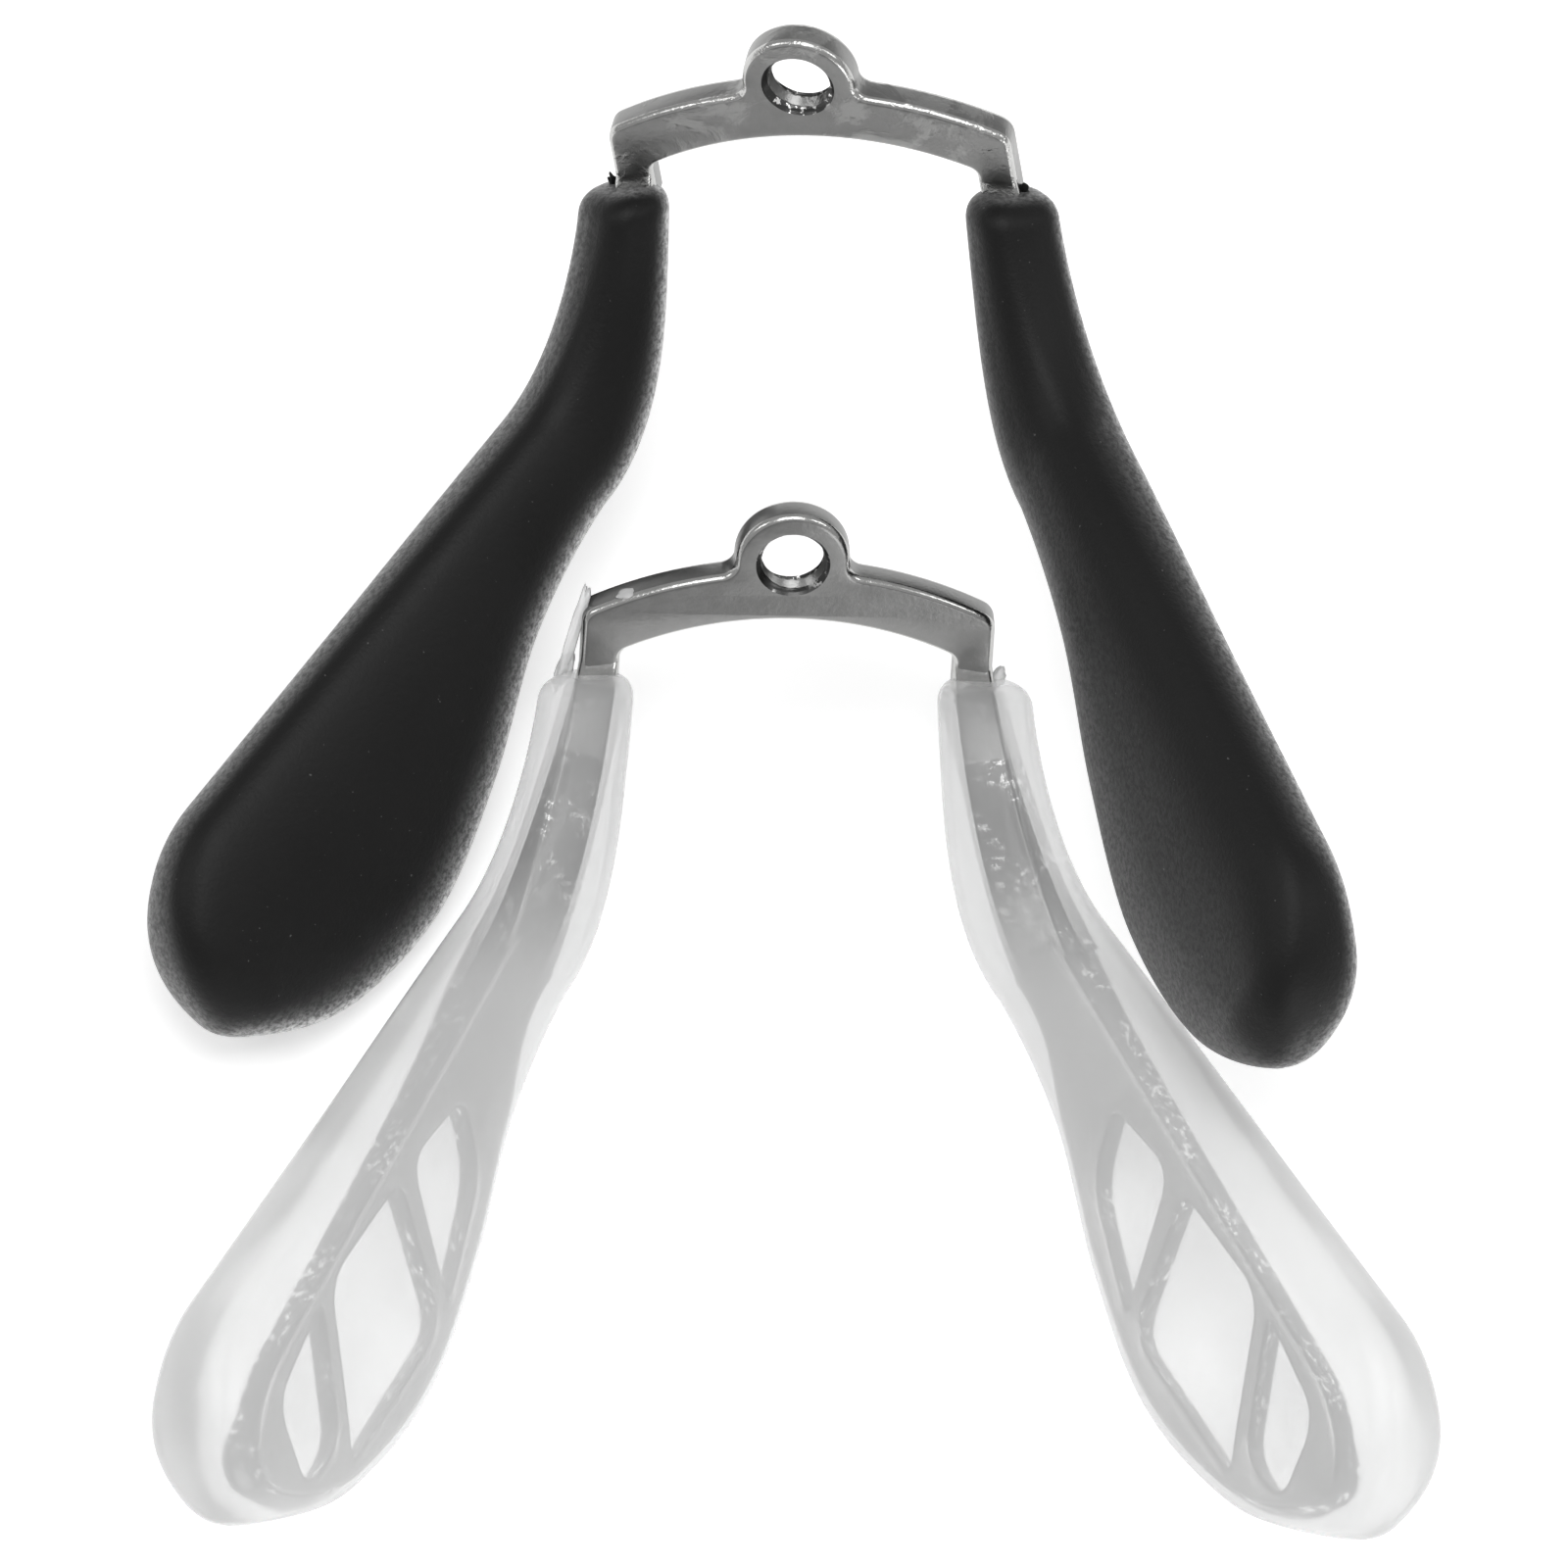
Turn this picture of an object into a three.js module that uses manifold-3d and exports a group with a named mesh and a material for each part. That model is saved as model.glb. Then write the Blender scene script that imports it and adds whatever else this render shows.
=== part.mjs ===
// Saddle-bridge nose pads for spectacles: one clear unit and one black unit, lying on a table.
// Each unit is a cast metal bridge insert with a silicone pad moulded over each of its two stems.
// Millimetres, +Z up. A unit is first built in its own frame, whose origin is the middle of the eyelet's
// front rim: +X to the unit's right, +Y up past the eyelet and +Z towards the side that the plate faces.
// Only the right half is worked out, and the left half is its mirror image.
import * as THREE from 'three';
import { mergeVertices } from 'three/addons/utils/BufferGeometryUtils.js';
import Module from 'manifold-3d';

const wasm = await Module();
wasm.setup();

const { degToRad, lerp, smoothstep, clamp } = THREE.MathUtils;

// Plate: an arched flat bar with an eyelet on top and a leg at each end
const PLATE_TILT = degToRad(42);
const PLATE_THICKNESS = 0.65;
const PLATE_EDGE = 0.1;
const EYELET_RADIUS = 1.1;
const HOLE_RADIUS = 0.68;
const EYELET_FILLET = 0.3;
const ARCH_CENTRE = new THREE.Vector2(0, -8.2);
const ARCH_INNER_RADIUS = 6.9;
const ARCH_OUTER_RADIUS = 8.0;
const LEG_INNER_X = 3.2;
const LEG_OUTER_X = 3.95;
const LEG_END_Y = -2.95;
const OUTER_CORNER_RADIUS = 0.4;
const INNER_CORNER_RADIUS = 0.25;

// Leaf plane: its origin lies on the pad's outer edge where that edge turns straight. Seen along -Z the
// straight edge splays outwards, it rises towards +Z, and the broad face turns inwards about it.
const LEAF_ORIGIN = new THREE.Vector3(5.78, -6.45, -1.22);
const LEAF_SPLAY = degToRad(33.7);
const LEAF_RISE = degToRad(29.2);
const LEAF_TURN = degToRad(36);

// Silicone pad: a neck that follows the leg, then a long drop shape with a straight outer edge. The black
// pads are a little shorter, and slimmer at the top.
const CLEAR_PAD = { length: 13.5, topWidth: 1.68 };
const BLACK_PAD = { length: 12.87, topWidth: 1.58 };
const PAD_WIDTHS = [2.54, 3.16, 4.45, 5.3, 5.05, 3.9];
const PAD_WIDTH_STEP = 2.7;
const PAD_TIP_LENGTH = 3.0;
const PAD_TIP_BIAS = 0.74;
const PAD_THICKNESS_NECK = 2.0;
const PAD_THICKNESS_END = 2.3;
const PAD_THICKENING_LENGTH = 8;
const PAD_END_ROUNDING = 1.1;
const PAD_OUTER_SQUARENESS = 2.8;
const PAD_INNER_SQUARENESS = 2.15;
const END_SQUARENESS = 2.2;
const NECK_TOP = new THREE.Vector3(3.76, -1.93, -1.76);
const NECK_TOP_DIRECTION = new THREE.Vector3(0.08, -1, -0.25).normalize();
const NECK_TOP_TURN = degToRad(50);
const NECK_TOP_THICKNESS = 1.72;
const NECK_TOP_ROUNDING = 0.45;
const NECK_TOP_SHARE = 0.7;
const NECK_PULLS = [1.55, 1.85];
const NECK_STATIONS = [0, 0.03, 0.09, 0.2, 0.32, 0.44, 0.56, 0.68, 0.8, 0.9];

// Stem and leaf: the metal inside the silicone
const STEM_START_Y = -2.3;
const STEM_WIDTHS = [0.73, 1.15];
const STEM_THICKNESSES = [0.63, 0.76];
const STEM_PULLS = [1.0, 1.7];
const STEM_EDGE = 0.1;
const STEM_MIDDLE = 1.27;
const STEM_REACH = 0.5;
const STEM_STEPS = 10;
const LEAF_THICKNESS = 0.8;
const LEAF_EDGE = 0.1;
const LEAF_LENGTH = 12.35;
const LEAF_TIP_LENGTH = 2.1;
const LEAF_SPREAD = 3;
const LEAF_TIP_BIAS = 0.55;
const LEAF_OUTER_MARGINS = [0.7, 1.9];
const LEAF_INNER_MARGIN = 0.38;
const CAVITY_GAP = 0.06;

// Windows in the leaf as corners (across, along), like the spaces between a leaf's veins
const WINDOW_ROUNDING = 0.35;
const WINDOW_CORNER_REACH = 1.6;
const WINDOWS = [
  [[1.8, 3.5], [1.66, 5.3], [4.15, 6.6], [3.02, 4.2]],
  [[1.72, 5.85], [1.74, 8.5], [4.45, 10.5], [4.3, 7.05]],
  [[1.9, 9.1], [2.4, 11.15], [3.75, 11.6], [3.5, 10.25]],
];

// How each unit lies on the table: turned about X, Y and Z in degrees, and where its eyelet stands
const CLEAR_POSE = { turn: [14, 4, -0.4], at: [0, 0] };
const BLACK_POSE = { turn: [22, -13.5, -1.25], at: [0.08, 8.55] };

const FORWARD = new THREE.Vector3(0, 0, 1);
const SECTION_SIDES = 16;

const METAL = { color: 0x9b9b99, roughness: 0.35, metalness: 1 };
const CLEAR_SILICONE = { color: 0xe2e3e2, roughness: 0.35, metalness: 0, transparent: true, opacity: 0.45 };
const BLACK_SILICONE = { color: 0x1b1b1c, roughness: 0.5, metalness: 0 };

// Axes of a section: along the piece, across it from the outer to the inner edge, and out of its face
function sectionAxes(along, turn) {
  const face = FORWARD.clone().addScaledVector(along, -along.dot(FORWARD)).normalize();
  const inward = new THREE.Vector3().crossVectors(along, face);
  const across = inward.clone().multiplyScalar(Math.cos(turn)).addScaledVector(face, -Math.sin(turn));
  return { along, across, face: new THREE.Vector3().crossVectors(across, along) };
}

const leafAlong = new THREE.Vector3(Math.tan(LEAF_SPLAY), -1, Math.tan(LEAF_RISE)).normalize();
const leaf = sectionAxes(leafAlong, LEAF_TURN);

const onLeaf = (across, along) =>
  LEAF_ORIGIN.clone().addScaledVector(leaf.across, across).addScaledVector(leaf.along, along);

// A point of the plate, whose own Y runs up the tilted plate and Z out of its face
function onPlate(x, y, z) {
  return new THREE.Vector3(x, y, z).applyAxisAngle(new THREE.Vector3(1, 0, 0), PLATE_TILT);
}

// Width of the pad at a distance along the leaf plane, smooth through its evenly spaced widths
const widthCurve = new THREE.SplineCurve(
  PAD_WIDTHS.map((width, i) => new THREE.Vector2(i * PAD_WIDTH_STEP, width)),
);
function padWidth(along) {
  return widthCurve.getPoint(clamp(along / (PAD_WIDTH_STEP * (PAD_WIDTHS.length - 1)), 0, 1)).y;
}

// Share of the full size left at a distance from a rounded end, as on an oval
function roundedEnd(fromEnd, length) {
  return (1 - clamp(1 - fromEnd / length, 0, 1) ** END_SQUARENESS) ** (1 / END_SQUARENESS);
}

// A closed body from rings of points with the same count, each end closed by a fan to its middle
function loft(rings) {
  const count = rings[0].length;
  const middle = (ring) => ring.reduce((sum, p) => sum.add(p), new THREE.Vector3()).divideScalar(count);
  const points = [...rings.flat(), middle(rings[0]), middle(rings.at(-1))];
  const index = [];
  for (let i = 0; i < rings.length - 1; i += 1) {
    for (let j = 0; j < count; j += 1) {
      const next = (j + 1) % count;
      const [a, b, c, d] = [i * count + j, i * count + next, (i + 1) * count + j, (i + 1) * count + next];
      index.push(a, c, b, b, c, d);
    }
  }
  const last = (rings.length - 1) * count;
  for (let j = 0; j < count; j += 1) {
    const next = (j + 1) % count;
    index.push(points.length - 2, j, next, points.length - 1, last + next, last + j);
  }
  const geometry = new THREE.BufferGeometry().setFromPoints(points);
  geometry.setIndex(index);
  return geometry;
}

// Booleans: to a solid, and back to a geometry
function solid(geometry) {
  const bare = geometry.clone();
  bare.deleteAttribute('normal');
  bare.deleteAttribute('uv');
  const merged = mergeVertices(bare, 1e-5);
  return new wasm.Manifold(new wasm.Mesh({
    numProp: 3,
    vertProperties: new Float32Array(merged.attributes.position.array),
    triVerts: new Uint32Array(merged.index.array),
  }));
}

function fromSolid(body) {
  const mesh = body.getMesh();
  const geometry = new THREE.BufferGeometry();
  geometry.setAttribute('position', new THREE.BufferAttribute(new Float32Array(mesh.vertProperties), 3));
  geometry.setIndex(new THREE.BufferAttribute(new Uint32Array(mesh.triVerts), 1));
  return geometry;
}

// The same solid on the unit's left
function mirrored(geometry) {
  const other = geometry.clone().scale(-1, 1, 1);
  const index = other.index.array;
  for (let i = 0; i < index.length; i += 3) [index[i], index[i + 1]] = [index[i + 1], index[i]];
  return other;
}

// Plate outline, worked out from tangent circles so that every corner is an arc
function plateShape() {
  const eyeletReach = EYELET_RADIUS + EYELET_FILLET;
  const archReach = ARCH_OUTER_RADIUS + EYELET_FILLET;
  const filletY = (archReach ** 2 - eyeletReach ** 2 - ARCH_CENTRE.y ** 2) / (-2 * ARCH_CENTRE.y);
  const filletX = Math.sqrt(eyeletReach ** 2 - filletY ** 2);
  const cornerX = LEG_OUTER_X - OUTER_CORNER_RADIUS;
  const cornerY = ARCH_CENTRE.y + Math.sqrt((ARCH_OUTER_RADIUS - OUTER_CORNER_RADIUS) ** 2 - cornerX ** 2);
  const innerX = LEG_INNER_X - INNER_CORNER_RADIUS;
  const innerY = ARCH_CENTRE.y + Math.sqrt((ARCH_INNER_RADIUS - INNER_CORNER_RADIUS) ** 2 - innerX ** 2);
  const cornerAngle = Math.atan2(cornerY - ARCH_CENTRE.y, cornerX);
  const filletAngle = Math.atan2(filletY - ARCH_CENTRE.y, filletX);
  const eyeletAngle = Math.atan2(filletY, filletX);
  const innerAngle = Math.atan2(innerY - ARCH_CENTRE.y, innerX);

  const shape = new THREE.Shape();
  shape.moveTo(LEG_INNER_X, LEG_END_Y);
  shape.lineTo(LEG_OUTER_X, LEG_END_Y);
  shape.absarc(cornerX, cornerY, OUTER_CORNER_RADIUS, 0, cornerAngle, false);
  shape.absarc(0, ARCH_CENTRE.y, ARCH_OUTER_RADIUS, cornerAngle, filletAngle, false);
  shape.absarc(filletX, filletY, EYELET_FILLET, filletAngle - Math.PI, eyeletAngle - Math.PI, true);
  shape.absarc(0, 0, EYELET_RADIUS, eyeletAngle, Math.PI - eyeletAngle, false);
  shape.absarc(-filletX, filletY, EYELET_FILLET, -eyeletAngle, -filletAngle, true);
  shape.absarc(0, ARCH_CENTRE.y, ARCH_OUTER_RADIUS, Math.PI - filletAngle, Math.PI - cornerAngle, false);
  shape.absarc(-cornerX, cornerY, OUTER_CORNER_RADIUS, Math.PI - cornerAngle, Math.PI, false);
  shape.lineTo(-LEG_OUTER_X, LEG_END_Y);
  shape.lineTo(-LEG_INNER_X, LEG_END_Y);
  shape.absarc(-innerX, innerY, INNER_CORNER_RADIUS, Math.PI, Math.PI - innerAngle, true);
  shape.absarc(0, ARCH_CENTRE.y, ARCH_INNER_RADIUS, Math.PI - innerAngle, innerAngle, true);
  shape.absarc(innerX, innerY, INNER_CORNER_RADIUS, innerAngle, 0, true);
  shape.closePath();
  shape.holes.push(new THREE.Path().absarc(0, 0, HOLE_RADIUS, 0, 2 * Math.PI, true));
  return shape;
}

// A flat piece of a given thickness about Z = 0 with its edges broken all round
function flatPiece(shape, thickness, edge, curveSegments) {
  return new THREE.ExtrudeGeometry(shape, {
    depth: thickness - 2 * edge,
    bevelThickness: edge,
    bevelSize: edge,
    bevelOffset: -edge,
    bevelSegments: 1,
    curveSegments,
  }).translate(0, 0, -thickness / 2 + edge);
}

function plate() {
  const flat = flatPiece(plateShape(), PLATE_THICKNESS, PLATE_EDGE, 5);
  return flat.translate(0, 0, -PLATE_THICKNESS / 2).rotateX(PLATE_TILT);
}

// Rectangle with broken corners, standing on a station's axes
function stemRing({ at, axes, width, thickness }) {
  const [w, t] = [width / 2, thickness / 2];
  const e = STEM_EDGE;
  const halfTurn = [[w, t - e], [w - e, t], [e - w, t], [-w, t - e]];
  const corners = [...halfTurn, ...halfTurn.map(([c, f]) => [-c, -f])];
  return corners.map(([c, f]) => at.clone().addScaledVector(axes.across, c).addScaledVector(axes.face, f));
}

// The stem starts inside the leg, bends and twists to the leaf plane and ends inside the leaf
function stem(gap) {
  const legAlong = onPlate(0, -1, 0);
  const start = onPlate((LEG_INNER_X + LEG_OUTER_X) / 2, STEM_START_Y, -PLATE_THICKNESS / 2);
  const end = onLeaf(STEM_MIDDLE, STEM_REACH);
  const path = new THREE.CubicBezierCurve3(
    start,
    start.clone().addScaledVector(legAlong, STEM_PULLS[0]),
    end.clone().addScaledVector(leaf.along, -STEM_PULLS[1]),
    end,
  );
  const rings = [];
  for (let i = 0; i <= STEM_STEPS; i += 1) {
    const share = i / STEM_STEPS;
    const ease = smoothstep(share, 0, 1);
    rings.push(stemRing({
      at: path.getPoint(share),
      axes: sectionAxes(path.getTangent(share), LEAF_TURN * ease),
      width: lerp(...STEM_WIDTHS, ease) + 2 * gap,
      thickness: lerp(...STEM_THICKNESSES, ease) + 2 * gap,
    }));
  }
  return loft(rings);
}

// Leaf edges at a distance along the leaf plane: the outer one is straight, the inner one follows the pad
function leafEdges(along, gap) {
  const outer = lerp(...LEAF_OUTER_MARGINS, along / LEAF_LENGTH);
  const following = smoothstep(along, 0, LEAF_SPREAD);
  const inner = lerp(STEM_MIDDLE + STEM_WIDTHS[1] / 2, padWidth(along) - LEAF_INNER_MARGIN, following);
  const end = roundedEnd(LEAF_LENGTH - along, LEAF_TIP_LENGTH);
  const middle = lerp(outer, inner, 0.5 + (LEAF_TIP_BIAS - 0.5) * (1 - end));
  const half = ((inner - outer) / 2) * end;
  return [middle - half - gap, middle + half + gap];
}

// Closed path through corners with each corner rounded
function roundedPath(corners, rounding, gap) {
  const middle = corners.reduce((sum, p) => sum.add(new THREE.Vector2(...p)), new THREE.Vector2());
  middle.divideScalar(corners.length);
  const points = corners.map((p) => {
    const corner = new THREE.Vector2(...p);
    return corner.addScaledVector(corner.clone().sub(middle).normalize(), -WINDOW_CORNER_REACH * gap);
  });
  const path = new THREE.Path();
  points.forEach((corner, i) => {
    const before = points.at(i - 1);
    const after = points[(i + 1) % points.length];
    const [enter, leave] = [before, after].map((other) => {
      const side = other.clone().sub(corner).normalize();
      return corner.clone().addScaledVector(side, rounding);
    });
    if (i === 0) path.moveTo(enter.x, enter.y);
    else path.lineTo(enter.x, enter.y);
    path.quadraticCurveTo(corner.x, corner.y, leave.x, leave.y);
  });
  path.closePath();
  return path;
}

// Distances along a piece, evenly spaced and then closing up towards its rounded end
function stationsAlong(start, length, tip, even, closing) {
  const list = [];
  for (let i = 0; i < even; i += 1) list.push(lerp(start, length - tip, i / even));
  for (let i = 0; i < closing; i += 1) {
    list.push(length - tip + tip * Math.sin((i / closing) * (Math.PI / 2)));
  }
  return list;
}

function leafFrame(gap) {
  const stations = stationsAlong(0, LEAF_LENGTH, LEAF_TIP_LENGTH, 8, 6);
  const point = (along, side) => new THREE.Vector2(leafEdges(along, gap)[side], along);
  const outline = [
    ...stations.map((along) => point(along, 0)),
    new THREE.Vector2(point(LEAF_LENGTH, 0).x + gap, LEAF_LENGTH + gap),
    ...stations.reverse().map((along) => point(along, 1)),
  ];
  const shape = new THREE.Shape(outline.reverse());
  for (const corners of WINDOWS) shape.holes.push(roundedPath(corners, WINDOW_ROUNDING, gap));
  const flat = flatPiece(shape, LEAF_THICKNESS + 2 * gap, LEAF_EDGE, 2);
  const basis = new THREE.Matrix4().makeBasis(leaf.across, leaf.along, leaf.face).setPosition(LEAF_ORIGIN);
  return flat.applyMatrix4(basis);
}

// The metal inside one pad: stem and leaf, swelled by the gap when it is to be the pad's cavity
const insertHalf = (gap) => solid(stem(gap)).add(solid(leafFrame(gap)));

function bridgeInsert() {
  const half = insertHalf(0);
  const other = solid(mirrored(fromSolid(half)));
  return fromSolid(solid(plate()).add(half).add(other));
}

// Rounded rectangle on a station's axes, squarer on its outer half than on its inner half
function padRing({ at, axes, width, thickness }) {
  const ring = [];
  for (let j = 0; j < SECTION_SIDES; j += 1) {
    const angle = (j / SECTION_SIDES) * 2 * Math.PI;
    const [c, f] = [Math.cos(angle), Math.sin(angle)];
    const power = 2 / (c < 0 ? PAD_OUTER_SQUARENESS : PAD_INNER_SQUARENESS);
    const across = Math.sign(c) * Math.abs(c) ** power * (width / 2);
    const out = Math.sign(f) * Math.abs(f) ** power * (thickness / 2);
    ring.push(at.clone().addScaledVector(axes.across, across).addScaledVector(axes.face, out));
  }
  return ring;
}

function neckStations(topWidth) {
  const end = onLeaf(PAD_WIDTHS[0] / 2, 0);
  const path = new THREE.CubicBezierCurve3(
    NECK_TOP,
    NECK_TOP.clone().addScaledVector(NECK_TOP_DIRECTION, NECK_PULLS[0]),
    end.clone().addScaledVector(leaf.along, -NECK_PULLS[1]),
    end,
  );
  const length = path.getLength();
  return NECK_STATIONS.map((share) => {
    const ease = smoothstep(share, 0, 1);
    const lip = lerp(NECK_TOP_SHARE, 1, roundedEnd(share * length, NECK_TOP_ROUNDING));
    return {
      at: path.getPoint(share),
      axes: sectionAxes(path.getTangent(share), lerp(NECK_TOP_TURN, LEAF_TURN, ease)),
      width: lerp(topWidth, PAD_WIDTHS[0], ease) * lip,
      thickness: lerp(NECK_TOP_THICKNESS, PAD_THICKNESS_NECK, ease) * lip,
    };
  });
}

function bladeStations(length) {
  return stationsAlong(0, length, PAD_TIP_LENGTH, 8, 8).map((along) => {
    const end = roundedEnd(length - along, PAD_TIP_LENGTH);
    const width = padWidth(along);
    const middle = width * (0.5 + (PAD_TIP_BIAS - 0.5) * (1 - end));
    const thickening = clamp(along / PAD_THICKENING_LENGTH, 0, 1);
    const thickness = lerp(PAD_THICKNESS_NECK, PAD_THICKNESS_END, thickening);
    return {
      at: onLeaf(middle, along),
      axes: leaf,
      width: width * end,
      thickness: thickness * roundedEnd(length - along, PAD_END_ROUNDING),
    };
  });
}

function pad({ length, topWidth }) {
  const outer = loft([...neckStations(topWidth), ...bladeStations(length)].map(padRing));
  return fromSolid(solid(outer).subtract(insertHalf(CAVITY_GAP)));
}

function named(name, geometry, finish) {
  const mesh = new THREE.Mesh(geometry, new THREE.MeshStandardMaterial(finish));
  mesh.name = name;
  return mesh;
}

const insertGeometry = bridgeInsert();

// One unit in its pose, lowered until it touches the table
function unit(colour, silicone, padSize, pose) {
  const rightPad = pad(padSize);
  const group = new THREE.Group();
  group.add(
    named(`${colour}_bridge_insert`, insertGeometry, METAL),
    named(`${colour}_left_pad`, mirrored(rightPad), silicone),
    named(`${colour}_right_pad`, rightPad, silicone),
  );
  group.rotation.set(...pose.turn.map(degToRad));
  group.position.set(pose.at[0], pose.at[1], 0);
  group.position.z = -new THREE.Box3().setFromObject(group, true).min.z;
  return group;
}

// Both units, with the origin under the middle of the set
const nosePads = new THREE.Group();
nosePads.add(
  unit('clear', CLEAR_SILICONE, CLEAR_PAD, CLEAR_POSE),
  unit('black', BLACK_SILICONE, BLACK_PAD, BLACK_POSE),
);
const middle = new THREE.Box3().setFromObject(nosePads, true).getCenter(new THREE.Vector3());
nosePads.position.set(-middle.x, -middle.y, 0);

export default nosePads;
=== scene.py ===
import math

import bmesh
import bpy
from mathutils import Matrix, Vector, noise


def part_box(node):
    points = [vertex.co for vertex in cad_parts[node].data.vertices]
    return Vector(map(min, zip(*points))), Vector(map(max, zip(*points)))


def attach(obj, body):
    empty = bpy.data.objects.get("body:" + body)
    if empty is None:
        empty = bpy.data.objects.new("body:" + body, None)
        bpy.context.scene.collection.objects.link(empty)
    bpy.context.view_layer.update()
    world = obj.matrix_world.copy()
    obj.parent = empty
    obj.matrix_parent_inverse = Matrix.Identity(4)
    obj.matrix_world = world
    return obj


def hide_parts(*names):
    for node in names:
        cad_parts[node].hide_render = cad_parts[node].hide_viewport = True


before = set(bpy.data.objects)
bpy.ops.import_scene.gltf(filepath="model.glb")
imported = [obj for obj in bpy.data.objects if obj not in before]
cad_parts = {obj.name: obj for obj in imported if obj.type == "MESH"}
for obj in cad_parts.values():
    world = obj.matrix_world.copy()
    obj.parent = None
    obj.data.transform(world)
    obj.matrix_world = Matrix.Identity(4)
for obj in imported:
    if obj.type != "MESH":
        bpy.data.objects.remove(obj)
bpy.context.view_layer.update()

# Saddle-bridge nose pads. Shapes are worked out in millimetres in each unit's own frame, whose origin is the
# middle of the eyelet's front rim: X to the unit's right, Y up past the eyelet, Z out of its face side.
# The right half is worked out and the left half is its mirror image.
MM = 0.001

# Plate
PLATE_TILT = math.radians(42)
PLATE_THICKNESS = 0.65
PLATE_EDGE = 0.13
EYELET_RADIUS = 1.1
HOLE_RADIUS = 0.68
EYELET_FILLET = 0.3
ARCH_CENTRE_Y = -8.2
ARCH_INNER_RADIUS = 6.9
ARCH_OUTER_RADIUS = 8.0
LEG_INNER_X = 3.2
LEG_OUTER_X = 3.95
LEG_END_Y = -2.95
OUTER_CORNER_RADIUS = 0.4
INNER_CORNER_RADIUS = 0.25
THREAD_PITCH = 0.3
THREAD_DEPTH = 0.12
THREAD_CREST = HOLE_RADIUS - THREAD_DEPTH * 0.75
COUNTERSINK = 0.06
COUNTERSINK_RADIUS = HOLE_RADIUS - 0.03
HOLE_RIM = 0.15
CREASE = 32

# Leaf plane of the right pad: where its outer edge starts, and how it splays out, rises and turns
LEAF_ORIGIN = Vector((5.78, -6.45, -1.22))
LEAF_SPLAY = math.radians(33.7)
LEAF_RISE = math.radians(29.2)
LEAF_TURN = math.radians(36)

# Silicone
PAD_SIZES = {
    "clear": {"length": 13.5, "top_width": 1.68},
    "black": {"length": 12.87, "top_width": 1.58},
}
PAD_WIDTHS = (2.54, 3.16, 4.45, 5.3, 5.05, 3.9)
PAD_WIDTH_STEP = 2.7
PAD_TIP_LENGTH = 3.0
PAD_TIP_BIAS = 0.74
PAD_THICKNESS_NECK = 2.0
PAD_THICKNESS_END = 2.3
PAD_THICKENING = 8.0
PAD_END_ROUNDING = 1.1
PAD_OUTER_SQUARENESS = 2.8
PAD_INNER_SQUARENESS = 2.15
END_SQUARENESS = 2.2
NECK_TOP = Vector((3.76, -1.93, -1.76))
NECK_TOP_DIRECTION = Vector((0.08, -1, -0.25)).normalized()
NECK_TOP_TURN = math.radians(50)
NECK_TOP_THICKNESS = 1.72
NECK_TOP_ROUNDING = 0.55
NECK_TOP_SHARE = 0.45
NECK_TOP_SLANT = 0.3
NECK_SLANT_REACH = 2.0
NECK_PULLS = (1.55, 1.85)
NECK_END_Y = -5.0
NECK_FADE_Y = -8.5
PAD_SIDES = 72
NECK_TOP_STEPS = 8
NECK_STEPS = 36
BLADE_STEPS = (48, 36)
PARTING_RIDGE = 0.015

# Stem and leaf
STEM_START_Y = -2.3
STEM_WIDTHS = (0.73, 1.15)
STEM_THICKNESSES = (0.63, 0.76)
STEM_PULLS = (1.0, 1.7)
STEM_EDGE = 0.1
STEM_MIDDLE = 1.27
STEM_INTO_LEAF = 0.5
STEM_STEPS = 32
STEM_CORNER_STEPS = 4
STEM_FADE_Y = (-5.5, -7.0)
SILICONE_START_Y = LEAF_ORIGIN.y + 3
LEAF_THICKNESS = 0.8
LEAF_EDGE = 0.12
LEAF_LENGTH = 12.35
LEAF_TIP_LENGTH = 2.1
LEAF_SPREAD = 3.0
LEAF_TIP_BIAS = 0.55
LEAF_OUTER_MARGINS = (0.7, 1.9)
LEAF_INNER_MARGIN = 0.38
LEAF_STEPS = (40, 20)
WINDOW_ROUNDING = 0.7
WINDOW_CORNER_STEPS = 8
WINDOWS = (
    ((1.8, 3.5), (1.66, 5.3), (4.15, 6.6), (3.02, 4.2)),
    ((1.72, 5.85), (1.74, 8.5), (4.45, 10.5), (4.3, 7.05)),
    ((1.84, 8.97), (2.3, 11.15), (3.85, 11.7), (4.0, 10.62)),
)

# Where the metal gets painted highlights and painted shade: how square to the front the plate's rounded
# edges are, how square to the leaf its sides and broad faces are, and the shares inside the silicone of
# painted highlight on broad faces, darkening on the leaf and on the stems, and painted shade on the sides
EDGE_SQUARENESS = (0.15, 0.98)
LEAF_SQUARENESS = (0.5, 0.9)
LEAF_HIGHLIGHT = 0.2
LEAF_DARKENING = 0.1
STEM_DARKENING = 0.6
SIDE_SHADE = 0.85

# Flash left on the pads by the mould: place, radii, turn in degrees and seed, in the plate's own axes
FLASH = {
    "clear_left": (
        ((-4.12, -1.95, -0.3), (0.12, 1.15, 0.05), -12, 1),
        ((-4.22, -2.7, -0.35), (0.15, 0.42, 0.1), -18, 2),
        ((-3.16, -0.86, -0.2), (0.2, 0.05, 0.16), 20, 3),
    ),
    "clear_right": (
        ((4.08, -2.75, -0.3), (0.12, 0.3, 0.1), -18, 4),
        ((3.6, -3.0, 0.02), (0.3, 0.12, 0.06), 8, 5),
    ),
    "black_left": (
        ((-4.05, -2.72, -0.2), (0.1, 0.28, 0.06), 14, 6),
        ((-3.3, -2.7, 0.03), (0.2, 0.12, 0.05), -10, 7),
    ),
    "black_right": (((4.02, -2.7, -0.2), (0.12, 0.2, 0.08), -12, 8),),
}

# How each unit lies: degrees about X, Y and Z
TURNS = {"clear": (14, 4, -0.4), "black": (22, -13.5, -1.25)}

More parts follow.
